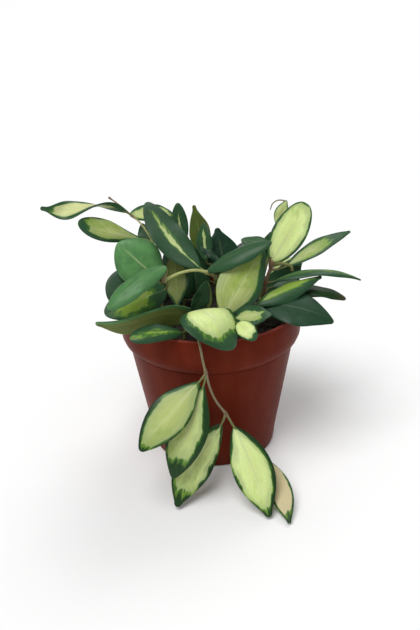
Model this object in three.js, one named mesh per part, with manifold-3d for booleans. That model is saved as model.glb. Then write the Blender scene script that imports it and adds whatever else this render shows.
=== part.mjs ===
// A trailing hoya with variegated leaves in a tapered nursery pot.
// Millimetres, +Z up, origin at the middle of the pot's underside, front of the plant towards -Y.
import * as THREE from 'three';
import { mergeVertices } from 'three/addons/utils/BufferGeometryUtils.js';
import Module from 'manifold-3d';

const wasm = await Module();
wasm.setup();

// ---- the pot ----
const POT_HEIGHT = 102;
const POT_SIDES = 48;
const POT_BASE_RADIUS = 40.2;
const POT_FOOT_RADIUS = 43.3;
const POT_FOOT_HEIGHT = 10;
const POT_WALL_TOP_RADIUS = 55;
const POT_WALL_TOP_Z = 77.2;
const POT_BAND_RADIUS = 60;
const POT_LIP_RADIUS = 59.4;
const POT_WALL = 1.5;
const POT_FLOOR = 2.2;
const POT_FOOT_BEVEL = 2;
const POT_LIP_DEPTH = 6;
const POT_FOOT_EXTRA_WALL = 0.4;
const POT_SHOULDER_FOOT = 1;
const POT_FLOOR_FILLET = 1;
const POT_SHOULDER_OUTSIDE = [[55.8, 78.2], [58.2, 80.6], [59.6, 84], [60, 88]];
const POT_SHOULDER_INSIDE = [[55.9, 81.8], [57.6, 84.6], [58.4, 88.2]];
const DRAIN_HOLES = 8;
const DRAIN_RADIUS = 4;
const DRAIN_CIRCLE = 27;
const DRAIN_SIDES = 12;
const DRAIN_MARGIN = 1;

// ---- the potting mix ----
const SOIL_TOP = 91;
const SOIL_CROWN = 1.6;
const SOIL_GAP = 0.35;
const SOIL_SHOULDER_GAP = 0.1;
const ROOT_LEVELS = [79.5, 92.6, 93.8];
const HOLE_BOTTOM = 79.1;
const HOLE_CLEARANCE = 0.35;
const HOLE_SIDES = 8;

// ---- leaves and stems ----
const LEAF_SPANS = 6;
const LEAF_ENDS = 0.014;
const FLAT_COLUMNS = [-1, 0, 1];
const CURLED_COLUMNS = [-1, -0.55, 0, 0.55, 1];
const CURLED_FOLD = 18;
const LEAST_FOLD = 0.01;
const RIB_THICKNESS = 1.5;
const EDGE_THICKNESS = 0.9;
const PETIOLE_RADIUS = 0.85;
const PETIOLE_SIDES = 5;
const PETIOLE_STEPS = 3;
const PETIOLE_REACH = 0.1;
const PETIOLE_LEAD = 0.4;
const STEM_SIDES = 6;
const STEM_STEP = 9;
const SMOOTHING = 0.04;
const JOINT_WIDTH_SEGMENTS = 6;
const JOINT_HEIGHT_SEGMENTS = 3;

// Blade outlines: [bluntness at the base (less is blunter), the same at the tip, widest place].
const OUTLINES = {
  acute: [0.85, 0.8, 0.46],
  long: [0.95, 0.95, 0.45],
  oblong: [0.55, 0.55, 0.47],
  round: [0.6, 0.6, 0.5],
  paddle: [0.7, 0.42, 0.55],
  spoon: [0.72, 0.55, 0.48],
  wedge: [0.7, 1.15, 0.4],
  blunt: [1.05, 0.7, 0.5],
  lance: [0.75, 0.9, 0.5],
  block: [0.55, 0.42, 0.5],
  broad: [0.42, 0.8, 0.36],
  curl: [0.6, 1.5, 0.62],
  club: [0.75, 0.5, 0.66],
  fan: [1, 0.52, 0.58],
  pod: [0.38, 0.54, 0.55],
  slab: [0.5, 0.38, 0.58],
};

const COLOURS = {
  pot: 0x5a2316,
  soil: 0x1e1712,
  green: 0x3f7a4a,
  deep: 0x234a38,
  cream: 0xb9c87a,
  lime: 0xc3d878,
};

// A leaf is given by its base and tip, its width, the way its upper face looks, and by
// bow (how far the midrib lifts at half length), swing (how far it moves there), sway (its S),
// twist and fold in degrees, outline, and the joint of the stem (from) that its stalk grows from.
const VINES = [
  {
    name: 'trailing_vine',
    colour: COLOURS.cream,
    radius: 0.75,
    root: [-15, -26],
    stem: [
      [-14, -34, 99], [-11.5, -46, 103.2], [-8.5, -57, 105], [-7, -63, 101.5], [-5.5, -64.5, 92],
      [-4, -64.5, 84], [-1.6, -63.5, 72], [1.8, -61.5, 62], [7.4, -59.5, 52], [14, -57, 38],
      [24, -56, 26], [30, -56, 17],
    ],
    swellings: [[-4, -64.5, 84, 1.5], [7.4, -59.5, 52, 1.4]],
    leaves: [
      {
        base: [-7, -66, 80], tip: [-44, -90, 47], width: 24, face: [-0.1, -0.9, 0.45], bow: 1,
        swing: [-0.7, 0, 0.6], fold: -12, outline: 'blunt', from: [-4, -64.5, 84],
      },
      {
        base: [-5, -65, 77], tip: [-26, -86, 24], width: 25, face: [-0.25, -0.9, 0.3], bow: 2,
        swing: [-0.3, 0, 0], fold: -12, outline: 'blunt', from: [-4, -64.5, 84],
      },
      {
        base: [5, -62, 46], tip: [-24.5, -87, 3], width: 24, face: [0.1, -0.9, 0.4], bow: -1,
        swing: [-3, 0, 0.6], fold: -12, outline: 'lance', from: [7, -59.5, 52],
      },
      {
        base: [12, -63, 45], tip: [31.4, -98.5, 2.4], width: 25.3, face: [0.1, -0.9, 0.4], bow: 2,
        swing: [1.4, 0, 0], fold: -12, outline: 'lance', from: [7.4, -59.5, 52],
      },
      {
        base: [31, -57, 16], tip: [43, -104, 2], width: 15, face: [-0.1, -0.6, 0.8], bow: 1,
        swing: [2.2, 0, 0], fold: -10, outline: 'lance', from: [30, -56, 17],
      },
    ],
  },
  {
    name: 'crossing_vine',
    colour: COLOURS.deep,
    radius: 0.95,
    root: [13, -14],
    stem: [
      [13, -13, 104], [10, -15, 114], [5, -19, 125], [-1, -25, 132.5], [-9, -29, 136],
      [-18, -34, 136.3], [-28, -40, 134],
    ],
    swellings: [[-1, -25, 132.5, 1.7], [-28, -40, 134, 1.9]],
    leaves: [
      {
        base: [-5.5, -25, 135.5], tip: [-38, -2, 172], width: 19.5, face: [0.05, -0.85, 0.5],
        bow: 1, swing: [-2.4, 0, -2], fold: 14, outline: 'spoon', from: [-1, -25, 132.5],
      },
      {
        base: [-2, -25, 133], tip: [38.6, -23.9, 151], width: 17, face: [-0.1, -0.35, 0.9], bow: 3,
        fold: -45, outline: 'spoon', from: [-1, -25, 132.5],
      },
      {
        base: [-25.4, -42, 143.8], tip: [-59.3, -62, 126.3], width: 16.2, face: [-0.2, -0.55, 0.8],
        bow: 3.6, swing: [0, 0, 0.6], fold: -30, outline: 'pod', from: [-28, -40, 134],
      },
      {
        base: [-26.5, -33.5, 126], tip: [-64, -45.5, 116], width: 22, face: [0.1, -0.8, 0.6],
        bow: 0, fold: 12, outline: 'oblong', from: [-28, -40, 134],
      },
    ],
  },
  {
    name: 'upper_left_vine',
    colour: COLOURS.cream,
    radius: 0.85,
    slim: 0.55,
    root: [-22, 3],
    stem: [
      [-23, 2, 106], [-28, 1, 120], [-32, 1, 134], [-37, 2, 147], [-44, 6, 157], [-48, 8, 160],
      [-56, 10, 167], [-63, 12, 172],
    ],
    swellings: [[-48, 8, 160, 1.5], [-63, 12, 172, 1.3]],
    leaves: [
      {
        base: [-50, 8, 162], tip: [-104, -4, 171], width: 16, face: [0.16, -0.01, 0.98], bow: 2.2,
        sway: 2.6, twist: 180, fold: 10, outline: 'curl', from: [-48, 8, 160],
      },
      {
        base: [-50, 10, 160.5], tip: [-23, 26, 155], width: 12.5, face: [0, -0.8, 0.6], bow: 3,
        fold: 0, outline: 'oblong', from: [-48, 8, 160],
      },
      {
        base: [-39.5, 2, 146], tip: [-81, -6, 162], width: 14.5, face: [0.1, -0.85, 0.5], bow: 1,
        swing: [0, 0, -1.4], fold: -14, outline: 'club', from: [-36, 2, 144],
      },
      {
        base: [-38, 4, 141], tip: [-43, 12, 154], width: 11, face: [-0.1, -0.85, 0.5], bow: 0,
        fold: 0, outline: 'acute', from: [-35, 2, 142],
      },
    ],
  },
  {
    name: 'left_vine',
    colour: COLOURS.green,
    radius: 1.05,
    root: [-30, -14],
    stem: [[-31, -14, 104], [-31, -15, 116], [-29, -13, 126], [-25, -9, 135], [-22, -7, 141]],
    swellings: [[-31, -15, 116, 1.7]],
    leaves: [
      {
        base: [-31.5, -19, 126], tip: [-56.5, -14, 150], width: 30, face: [-0.1, -0.85, 0.5],
        bow: 3, fold: -14, outline: 'round', from: [-31, -15, 116],
      },
      {
        base: [-38, -9, 119], tip: [-60, -6, 133], width: 16, face: [-0.1, -0.85, 0.5], bow: 2,
        fold: 0, outline: 'acute', from: [-31, -15, 116],
      },
      {
        base: [-37, -15, 120], tip: [-65.3, -24, 121.4], width: 28, face: [-0.1, -0.8, 0.5], bow: 2,
        fold: 0, outline: 'block', from: [-31, -15, 116],
      },
      {
        base: [-22, -8, 141], tip: [-21, -24, 109], width: 17, face: [0.1, 0.8, 0.2], bow: 2,
        fold: 0, outline: 'long', from: [-22, -7, 141],
      },
    ],
  },
  {
    name: 'low_left_vine',
    colour: COLOURS.deep,
    radius: 1.05,
    root: [-17, -34],
    stem: [[-17, -34, 99], [-16.5, -35, 105], [-15.5, -35.5, 110]],
    swellings: [],
    leaves: [
      {
        base: [-12.3, -36.5, 111], tip: [-68, -58, 116], width: 23, face: [-0.1, 0.88, 0.42],
        bow: 0, swing: [0, 0, -0.3], sway: 2.5, fold: -40, outline: 'broad',
        from: [-15.5, -35.5, 110],
      },
      {
        base: [-17, -50, 103.6], tip: [-47.5, -66, 108.7], width: 12.7, face: [-0.1, -0.6, 0.8],
        bow: 4, fold: -10, outline: 'slab', from: [-16.5, -35, 105],
      },
    ],
  },
  {
    name: 'front_vine',
    colour: COLOURS.cream,
    radius: 1.05,
    root: [4, -34],
    stem: [[4, -35, 99], [7, -38, 104], [12, -43, 110]],
    swellings: [],
    leaves: [
      {
        base: [-16, -40.5, 107.3], tip: [12.8, -69, 101.6], width: 39.5, face: [0.35, -0.3, 1],
        bow: 14.7, swing: [-3.4, 0, 0], fold: -15, outline: 'fan', from: [4, -35, 99],
      },
      {
        base: [8, -42, 110], tip: [35, -16, 142], width: 28, face: [0.15, -0.9, 0.4], bow: 3,
        swing: [-2.2, 0.8, 0.5], fold: -12, outline: 'acute', from: [7, -38, 104],
      },
      {
        base: [16, -53, 110.3], tip: [26, -66, 105.7], width: 11, face: [0, -0.8, 0.6],
        bow: 3, fold: 0, outline: 'block', from: [12, -43, 110],
      },
      {
        base: [14, -45, 110], tip: [36, -56, 117], width: 14, face: [0, -0.7, 0.7], bow: 1,
        fold: 15, outline: 'acute', from: [12, -43, 110],
      },
      {
        base: [-12, -29, 107], tip: [-2, -22, 126], width: 13, face: [0.7, -0.7, 0.3], bow: 2,
        fold: 20, outline: 'acute', from: [4, -34, 96],
      },
      {
        base: [-1, -21, 105], tip: [-1, -14, 123], width: 6, face: [0, 0.9, 0.1], bow: 0,
        fold: 0, outline: 'acute', from: [4, -34, 96],
      },
    ],
  },
  {
    name: 'right_tall_vine',
    colour: COLOURS.lime,
    radius: 1.05,
    root: [35, -10],
    stem: [[35, -11, 104], [35, -13, 113], [36, -12, 120], [39, -8, 127], [41, -6, 131]],
    swellings: [[36, -12, 120, 1.7], [41, -6, 131, 1.7]],
    spurs: [
      { radius: 0.8, path: [[39, -8, 127], [38.5, -10, 132], [39.5, -10, 136]] },
      { radius: 1.3, path: [[41, -6, 129], [46, -9, 131], [52, -10, 129.5], [53, -10, 126]] },
    ],
    leaves: [
      {
        base: [40, -4.5, 130], tip: [63.4, 8, 165.2], width: 22, face: [0.1, -0.9, 0.45], bow: 2,
        fold: 10, outline: 'block', from: [41, -6, 131],
      },
      {
        base: [49, -6, 127], tip: [91, 0, 148], width: 11, face: [-0.2, -0.7, 0.7], bow: 1,
        swing: [0, 0, 1], fold: 20, outline: 'acute', from: [39, -8, 127],
      },
      {
        base: [40, -14, 120], tip: [97, -12, 119], width: 10, face: [0.1, -0.1, 1], bow: 7,
        fold: -20, outline: 'acute', from: [36, -12, 120],
      },
      {
        base: [40, -9, 115], tip: [63, -4, 116], width: 9, face: [0.1, -0.4, 0.9], bow: 0,
        fold: 0, outline: 'acute', from: [35, -13, 113],
      },
    ],
  },
  {
    name: 'right_low_vine',
    colour: COLOURS.deep,
    radius: 1.05,
    root: [29, -22],
    stem: [[29, -24, 101], [29, -28, 110], [28, -30, 113]],
    swellings: [],
    leaves: [
      {
        base: [27.5, -31, 112], tip: [71, -16, 124], width: 16.5, face: [-0.1, -0.35, 0.9],
        bow: 1.5, fold: -45, outline: 'long', from: [28, -30, 113],
      },
      {
        base: [46, -17, 112], tip: [87.7, -12, 106.4], width: 12, face: [0, -0.3, 1], bow: 6,
        fold: -25, outline: 'paddle', from: [29, -26, 106],
      },
      {
        base: [33, -28, 110], tip: [76, -38, 102], width: 26, face: [0.1, -0.5, 0.9], bow: 3,
        swing: [0.5, 0, 2], fold: -10, outline: 'acute', from: [29, -28, 110],
      },
    ],
  },
  {
    name: 'back_centre_vine',
    colour: COLOURS.deep,
    radius: 1.05,
    root: [5, 14],
    stem: [[5, 13, 104], [4, 10, 116], [3, 9, 126]],
    swellings: [],
    leaves: [
      {
        base: [-3, 14, 132], tip: [-9, 26, 161], width: 15.5, face: [0.2, 0.9, 0.3], bow: 0,
        fold: 0, outline: 'wedge', from: [3, 9, 126],
      },
      {
        base: [-2, 2, 130], tip: [-3, 12, 153], width: 11, face: [-0.3, -0.85, 0.4], bow: 0,
        fold: 0, outline: 'acute', from: [3, 9, 126],
      },
      {
        base: [10, 6, 123], tip: [6, 16, 148], width: 23, face: [0.1, -0.85, 0.4], bow: 0,
        fold: 0, outline: 'wedge', from: [4, 10, 116],
      },
      {
        base: [7, -9, 134], tip: [-6, -4, 142], width: 5, face: [0, -0.5, 0.8], bow: 0,
        fold: 0, outline: 'acute', from: [3, 9, 126],
      },
      {
        base: [16, 10, 98], tip: [19, 26, 130], width: 26, face: [0, -0.9, 0.3], bow: 0,
        fold: 0, outline: 'acute', from: [5, 13, 96],
      },
    ],
  },
  {
    name: 'back_left_vine',
    colour: COLOURS.deep,
    radius: 1.05,
    root: [-18, 18],
    stem: [[-18, 18, 104], [-19, 19, 116], [-18, 21, 128]],
    swellings: [],
    leaves: [
      {
        base: [-18, 26, 133], tip: [-20, 36, 160], width: 11.5, face: [0, -0.85, 0.5], bow: 0,
        fold: 0, outline: 'oblong', from: [-18, 21, 128],
      },
      {
        base: [-15, 13, 99], tip: [-28, 16, 135], width: 22, face: [-0.2, -0.9, 0.3], bow: 0,
        fold: 0, outline: 'acute', from: [-18, 18, 96],
      },
      {
        base: [-8, 17, 99], tip: [-12, 28, 136], width: 22, face: [0, -0.9, 0.3], bow: 0,
        fold: 0, outline: 'acute', from: [-18, 18, 96],
      },
      {
        base: [-24, 26, 112], tip: [-64, 44, 126], width: 22, face: [-0.2, 0.5, 0.85], bow: 4,
        fold: -10, outline: 'acute', from: [-19, 19, 112],
      },
      {
        base: [-30, 22, 104], tip: [-68, 24, 103], width: 21, face: [-0.1, 0.1, 1], bow: 6,
        fold: -10, outline: 'acute', from: [-18, 18, 100],
      },
    ],
  },
  {
    name: 'back_right_vine',
    colour: COLOURS.deep,
    radius: 1.05,
    root: [34, 14],
    stem: [[35, 14, 104], [37, 14, 116], [40, 14, 128], [43, 12.5, 142], [44, 11.5, 149]],
    swellings: [],
    spurs: [
      {
        radius: 0.5,
        path: [[51, 10, 166], [48.5, 10, 167], [45, 10, 167], [42, 10, 165], [40.5, 10, 161]],
      },
    ],
    leaves: [
      {
        base: [41, 16, 135], tip: [22, 22, 137], width: 10, face: [0, -0.6, 0.8], bow: 0,
        fold: 0, outline: 'oblong', from: [40, 14, 128],
      },
      {
        base: [37, 18, 122], tip: [42, 22, 142], width: 10, face: [0, -0.6, 0.8], bow: 0,
        fold: 0, outline: 'acute', from: [37, 14, 116],
      },
      {
        base: [44.4, 11, 150.9], tip: [51, 10, 167], width: 8.5, face: [0, -0.9, 0.4], bow: 0,
        fold: 0, outline: 'acute', from: [44, 11.5, 149],
      },
      {
        base: [44, 15, 104], tip: [64, 26, 122.5], width: 14, face: [-0.2, -0.9, 0.3], bow: 0,
        fold: 0, outline: 'acute', from: [35, 14, 101],
      },
      {
        base: [37, 6, 100], tip: [60, 4, 123.5], width: 20, face: [-0.2, -0.9, 0.3], bow: 0,
        fold: 0, outline: 'acute', from: [34, 14, 97],
      },
      {
        base: [42, 26, 108], tip: [74, 52, 112], width: 22, face: [0.2, 0.5, 0.85], bow: 5,
        fold: -10, outline: 'acute', from: [35, 14, 104],
      },
    ],
  },
  {
    name: 'back_vine',
    colour: COLOURS.green,
    radius: 1.05,
    root: [4, 36],
    stem: [[4, 38, 100], [2, 44, 107], [-2, 52, 110]],
    swellings: [],
    leaves: [
      {
        base: [-7, 50, 108], tip: [-44, 72, 98], width: 24, face: [-0.2, 0.4, 0.9], bow: 6,
        fold: -10, outline: 'acute', from: [2, 44, 107],
      },
      {
        base: [8, 50, 108], tip: [42, 74, 94], width: 25, face: [0.2, 0.4, 0.9], bow: 6,
        fold: -10, outline: 'acute', from: [2, 44, 107],
      },
      {
        base: [-2, 57, 109], tip: [-4, 88, 66], width: 25, face: [0, 0.85, 0.5], bow: 5,
        fold: -10, outline: 'acute', from: [-2, 52, 110],
      },
      {
        base: [-3, 34, 106], tip: [-36, 54, 122], width: 20, face: [-0.2, 0.5, 0.85], bow: 3,
        fold: -10, outline: 'acute', from: [4, 38, 99],
      },
      {
        base: [10, 35, 106], tip: [30, 54, 126], width: 20, face: [0, 0.7, 0.7], bow: 3,
        fold: -10, outline: 'oblong', from: [4, 38, 99],
      },
    ],
  },
];

// ---- helpers ----
const vector = (p) => new THREE.Vector3(p[0], p[1], p[2]);

function solidFrom(positions, triangles) {
  const flat = new Float32Array(positions);
  let volume = 0;
  const corner = (i) => new THREE.Vector3(flat[3 * i], flat[3 * i + 1], flat[3 * i + 2]);
  for (let t = 0; t < triangles.length; t += 3) {
    const a = corner(triangles[t]);
    const b = corner(triangles[t + 1]);
    const c = corner(triangles[t + 2]);
    volume += a.dot(b.cross(c));
  }
  const order = new Uint32Array(triangles);
  if (volume < 0) {
    for (let t = 0; t < order.length; t += 3) {
      const swap = order[t + 1];
      order[t + 1] = order[t + 2];
      order[t + 2] = swap;
    }
  }
  return new wasm.Manifold(new wasm.Mesh({ numProp: 3, vertProperties: flat, triVerts: order }));
}

function solidOf(geometry, weld = 1e-3) {
  const bare = geometry.clone();
  bare.deleteAttribute('normal');
  bare.deleteAttribute('uv');
  const merged = mergeVertices(bare, weld);
  const positions = merged.attributes.position.array;
  const kept = [];
  for (let t = 0; t < merged.index.count; t += 3) {
    const a = merged.index.array[t];
    const b = merged.index.array[t + 1];
    const c = merged.index.array[t + 2];
    if (a !== b && b !== c && c !== a) {
      kept.push(a, b, c);
    }
  }
  return solidFrom(positions, kept);
}

function geometryOf(solid) {
  const mesh = solid.getMesh();
  const geometry = new THREE.BufferGeometry();
  geometry.setAttribute('position', new THREE.BufferAttribute(mesh.vertProperties, 3));
  geometry.setIndex(new THREE.BufferAttribute(mesh.triVerts, 1));
  geometry.computeVertexNormals();
  return geometry;
}

function lathe(profile) {
  const points = profile.map(([r, z]) => new THREE.Vector2(r, z));
  const geometry = new THREE.LatheGeometry(points, POT_SIDES);
  geometry.rotateX(Math.PI / 2);
  return geometry;
}

function rod(x, y, low, high, radius, sides) {
  const geometry = new THREE.CylinderGeometry(radius, radius, high - low, sides);
  geometry.rotateX(Math.PI / 2);
  geometry.translate(x, y, (low + high) / 2);
  return solidOf(geometry);
}

function sweep(curve, stations, radius, sides, endShare = 1) {
  const positions = [];
  const triangles = [];
  const side = new THREE.Vector3(1, 0, 0);
  for (const [i, t] of stations.entries()) {
    const reach = radius * (1 + ((endShare - 1) * i) / (stations.length - 1));
    const centre = curve.getPoint(t);
    const heading = curve.getTangent(t);
    side.addScaledVector(heading, -side.dot(heading)).normalize();
    const across = heading.clone().cross(side);
    for (let k = 0; k < sides; k += 1) {
      const angle = (2 * Math.PI * k) / sides;
      const corner = centre.clone().addScaledVector(side, reach * Math.cos(angle));
      positions.push(...corner.addScaledVector(across, reach * Math.sin(angle)).toArray());
    }
  }
  const last = (stations.length - 1) * sides;
  for (let ring = 0; ring < last; ring += sides) {
    for (let k = 0; k < sides; k += 1) {
      const a = ring + k;
      const b = ring + ((k + 1) % sides);
      triangles.push(a, b, b + sides, a, b + sides, a + sides);
    }
  }
  for (let k = 1; k < sides - 1; k += 1) {
    triangles.push(0, k + 1, k, last, last + k, last + k + 1);
  }
  return solidFrom(positions, triangles);
}

function stemThrough(points, radius, sides, endShare = 1) {
  const places = points.map(vector);
  const curve = new THREE.CatmullRomCurve3(places);
  const stations = [0];
  for (let i = 1; i < places.length; i += 1) {
    const parts = Math.max(1, Math.round(places[i].distanceTo(places[i - 1]) / STEM_STEP));
    for (let k = 1; k <= parts; k += 1) {
      stations.push((i - 1 + k / parts) / (places.length - 1));
    }
  }
  return sweep(curve, stations, radius, sides, endShare);
}

function ball(place, radius) {
  const geometry = new THREE.SphereGeometry(radius, JOINT_WIDTH_SEGMENTS, JOINT_HEIGHT_SEGMENTS);
  geometry.translate(place[0], place[1], place[2]);
  return solidOf(geometry);
}

// ---- leaves ----
function halfWidth(leaf, u) {
  const [base, tip, widest] = OUTLINES[leaf.outline];
  const power = Math.log(0.5) / Math.log(widest);
  const rise = Math.max(0, Math.sin(Math.PI * u ** power));
  return (leaf.width / 2) * rise ** (u < widest ? base : tip);
}

function midribAt(leaf, u) {
  const base = vector(leaf.base);
  const tip = vector(leaf.tip);
  const along = tip.clone().sub(base).normalize();
  const face = vector(leaf.face).normalize();
  face.addScaledVector(along, -face.dot(along)).normalize();
  const control = base.clone().add(tip).multiplyScalar(0.5).addScaledVector(face, 2 * leaf.bow);
  control.addScaledVector(vector(leaf.swing ?? [0, 0, 0]), 2);
  const place = base.clone().multiplyScalar((1 - u) ** 2);
  place.addScaledVector(control, 2 * u * (1 - u)).addScaledVector(tip, u * u);
  const sway = leaf.sway ?? 0;
  place.addScaledVector(face, sway * Math.sin(2 * Math.PI * u));
  const heading = control.clone().sub(base).multiplyScalar(2 * (1 - u));
  heading.addScaledVector(tip.clone().sub(control), 2 * u);
  heading.addScaledVector(face, 2 * Math.PI * sway * Math.cos(2 * Math.PI * u)).normalize();
  return { place, heading };
}

function bladeAt(leaf, u, v, lift) {
  const { place, heading } = midribAt(leaf, u);
  const level = vector(leaf.face).normalize();
  level.addScaledVector(heading, -level.dot(heading)).normalize();
  const across = level.clone().cross(heading);
  const turn = THREE.MathUtils.degToRad(leaf.twist ?? 0) * (u - 0.5);
  const up = level.clone().multiplyScalar(Math.cos(turn)).addScaledVector(across, Math.sin(turn));
  const side = across.multiplyScalar(Math.cos(turn)).addScaledVector(level, -Math.sin(turn));
  const fold = THREE.MathUtils.degToRad(leaf.fold || LEAST_FOLD);
  const half = halfWidth(leaf, u);
  const point = place.clone();
  point.addScaledVector(side, (half * Math.sin(fold * v)) / fold);
  point.addScaledVector(up, (half * (1 - Math.cos(fold * v))) / fold);
  const normal = up.multiplyScalar(Math.cos(fold * v)).addScaledVector(side, -Math.sin(fold * v));
  const thickness = RIB_THICKNESS + (EDGE_THICKNESS - RIB_THICKNESS) * v * v;
  return point.addScaledVector(normal, (lift * thickness) / 2);
}

function blade(leaf) {
  const positions = [];
  const triangles = [];
  const across = Math.abs(leaf.fold) > CURLED_FOLD ? CURLED_COLUMNS : FLAT_COLUMNS;
  const columns = across.length;
  const ring = 2 * columns;
  for (let i = 0; i <= LEAF_SPANS; i += 1) {
    const eased = 0.5 - 0.5 * Math.cos((Math.PI * i) / LEAF_SPANS);
    const u = LEAF_ENDS + (1 - 2 * LEAF_ENDS) * eased;
    for (const lift of [1, -1]) {
      for (const v of across) {
        positions.push(...bladeAt(leaf, u, v, lift).toArray());
      }
    }
  }
  const quad = (a, b, c, d) => triangles.push(a, b, c, a, c, d);
  for (let i = 0; i < LEAF_SPANS; i += 1) {
    const here = i * ring;
    const next = here + ring;
    for (let j = 0; j < columns - 1; j += 1) {
      const below = columns + j;
      quad(here + j, next + j, next + j + 1, here + j + 1);
      triangles.push(here + below, next + below + 1, next + below);
      triangles.push(here + below, here + below + 1, next + below + 1);
    }
    quad(here, here + columns, next + columns, next);
    quad(here + columns - 1, next + columns - 1, next + ring - 1, here + ring - 1);
  }
  const last = LEAF_SPANS * ring;
  for (let j = 0; j < columns - 1; j += 1) {
    quad(j, j + 1, columns + j + 1, columns + j);
    quad(last + j, last + columns + j, last + columns + j + 1, last + j + 1);
  }
  return solidFrom(positions, triangles);
}

function stalk(leaf) {
  const start = vector(leaf.from);
  const end = midribAt(leaf, PETIOLE_REACH).place;
  const { place, heading } = midribAt(leaf, 0);
  const control = place.clone().addScaledVector(heading, -PETIOLE_LEAD * start.distanceTo(place));
  const curve = new THREE.QuadraticBezierCurve3(start, control, end);
  const stations = Array.from({ length: PETIOLE_STEPS + 1 }, (_, k) => k / PETIOLE_STEPS);
  return sweep(curve, stations, PETIOLE_RADIUS, PETIOLE_SIDES);
}

// ---- vines ----
function vineSolid(vine) {
  const [x, y] = vine.root;
  const rooted = ROOT_LEVELS.map((z) => [x, y, z]);
  let solid = stemThrough([...rooted, ...vine.stem], vine.radius, STEM_SIDES, vine.slim);
  for (const [sx, sy, sz, radius] of vine.swellings) {
    solid = solid.add(ball([sx, sy, sz], radius));
  }
  for (const spur of vine.spurs ?? []) {
    solid = solid.add(stemThrough(spur.path, spur.radius, PETIOLE_SIDES));
  }
  for (const leaf of vine.leaves) {
    solid = solid.add(stalk(leaf)).add(blade(leaf));
  }
  return solid.simplify(SMOOTHING);
}

// ---- pot and potting mix ----
const innerBottom = POT_FOOT_RADIUS - POT_WALL - POT_FOOT_EXTRA_WALL;
const innerTop = POT_WALL_TOP_RADIUS - POT_WALL;
const potProfile = [
  [0, 0],
  [POT_BASE_RADIUS, 0],
  [POT_BASE_RADIUS + POT_FOOT_BEVEL, POT_FOOT_BEVEL],
  [POT_FOOT_RADIUS, POT_FOOT_HEIGHT],
  [POT_WALL_TOP_RADIUS, POT_WALL_TOP_Z],
  ...POT_SHOULDER_OUTSIDE,
  [POT_BAND_RADIUS, POT_HEIGHT - POT_LIP_DEPTH],
  [POT_LIP_RADIUS, POT_HEIGHT],
  [POT_LIP_RADIUS - POT_WALL, POT_HEIGHT],
  [POT_BAND_RADIUS - POT_WALL, POT_HEIGHT - POT_LIP_DEPTH],
  ...POT_SHOULDER_INSIDE.slice().reverse(),
  [innerTop, POT_WALL_TOP_Z + POT_SHOULDER_FOOT],
  [innerBottom, POT_FOOT_HEIGHT],
  [innerBottom - POT_FLOOR_FILLET, POT_FLOOR],
  [0, POT_FLOOR],
];

const soilProfile = [
  [0, POT_FLOOR + SOIL_GAP],
  [innerBottom - POT_FLOOR_FILLET - SOIL_GAP, POT_FLOOR + SOIL_GAP],
  [innerBottom - SOIL_GAP, POT_FOOT_HEIGHT],
  [innerTop - SOIL_GAP, POT_WALL_TOP_Z + POT_SHOULDER_FOOT + SOIL_SHOULDER_GAP],
  ...POT_SHOULDER_INSIDE.map(([r, z]) => [r - SOIL_GAP, z]),
  [POT_BAND_RADIUS - POT_WALL - SOIL_GAP - SOIL_SHOULDER_GAP, SOIL_TOP],
  [0, SOIL_TOP + SOIL_CROWN],
];

let pot = solidOf(lathe(potProfile));
for (let i = 0; i < DRAIN_HOLES; i += 1) {
  const angle = (2 * Math.PI * i) / DRAIN_HOLES;
  const x = DRAIN_CIRCLE * Math.cos(angle);
  const y = DRAIN_CIRCLE * Math.sin(angle);
  pot = pot.subtract(rod(x, y, -DRAIN_MARGIN, POT_FLOOR + DRAIN_MARGIN, DRAIN_RADIUS, DRAIN_SIDES));
}

let soil = solidOf(lathe(soilProfile));
for (const vine of VINES) {
  const [x, y] = vine.root;
  const radius = (vine.radius + HOLE_CLEARANCE) / Math.cos(Math.PI / HOLE_SIDES);
  soil = soil.subtract(rod(x, y, HOLE_BOTTOM, POT_HEIGHT, radius, HOLE_SIDES));
}

function material(colour, roughness) {
  return new THREE.MeshStandardMaterial({ color: colour, roughness, metalness: 0 });
}

const group = new THREE.Group();
function addPiece(name, solid, look) {
  const mesh = new THREE.Mesh(geometryOf(solid), look);
  mesh.name = name;
  group.add(mesh);
}

addPiece('pot', pot, material(COLOURS.pot, 0.5));
addPiece('potting_mix', soil, material(COLOURS.soil, 0.95));
for (const vine of VINES) {
  addPiece(vine.name, vineSolid(vine), material(vine.colour, 0.4));
}

export default group;
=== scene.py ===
import itertools
import math

import bpy
import numpy as np
from mathutils import Matrix, Vector


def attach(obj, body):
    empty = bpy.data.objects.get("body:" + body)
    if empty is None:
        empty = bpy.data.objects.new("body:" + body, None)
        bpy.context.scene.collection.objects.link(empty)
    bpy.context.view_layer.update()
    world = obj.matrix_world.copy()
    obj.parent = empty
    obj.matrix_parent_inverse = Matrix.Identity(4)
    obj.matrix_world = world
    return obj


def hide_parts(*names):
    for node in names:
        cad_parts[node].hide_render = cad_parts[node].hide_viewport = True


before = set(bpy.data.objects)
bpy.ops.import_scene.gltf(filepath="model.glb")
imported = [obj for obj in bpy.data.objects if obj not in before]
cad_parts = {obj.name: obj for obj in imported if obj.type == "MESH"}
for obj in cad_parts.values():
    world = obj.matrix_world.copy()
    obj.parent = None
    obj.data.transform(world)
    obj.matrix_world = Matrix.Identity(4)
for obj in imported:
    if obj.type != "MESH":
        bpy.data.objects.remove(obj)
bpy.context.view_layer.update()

bl_info = {
    "name": "Potted trailing hoya",
    "version": (1, 0, 0),
    "blender": (4, 5, 0),
    "location": "3D View > Sidebar > Hoya",
    "description": "A trailing hoya with variegated leaves in a tapered nursery pot",
    "category": "Add Mesh",
}

MM = 0.001
SEED = 11

# ---- the plant
# All places and lengths here are in millimetres, in the frame's own axes.

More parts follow.
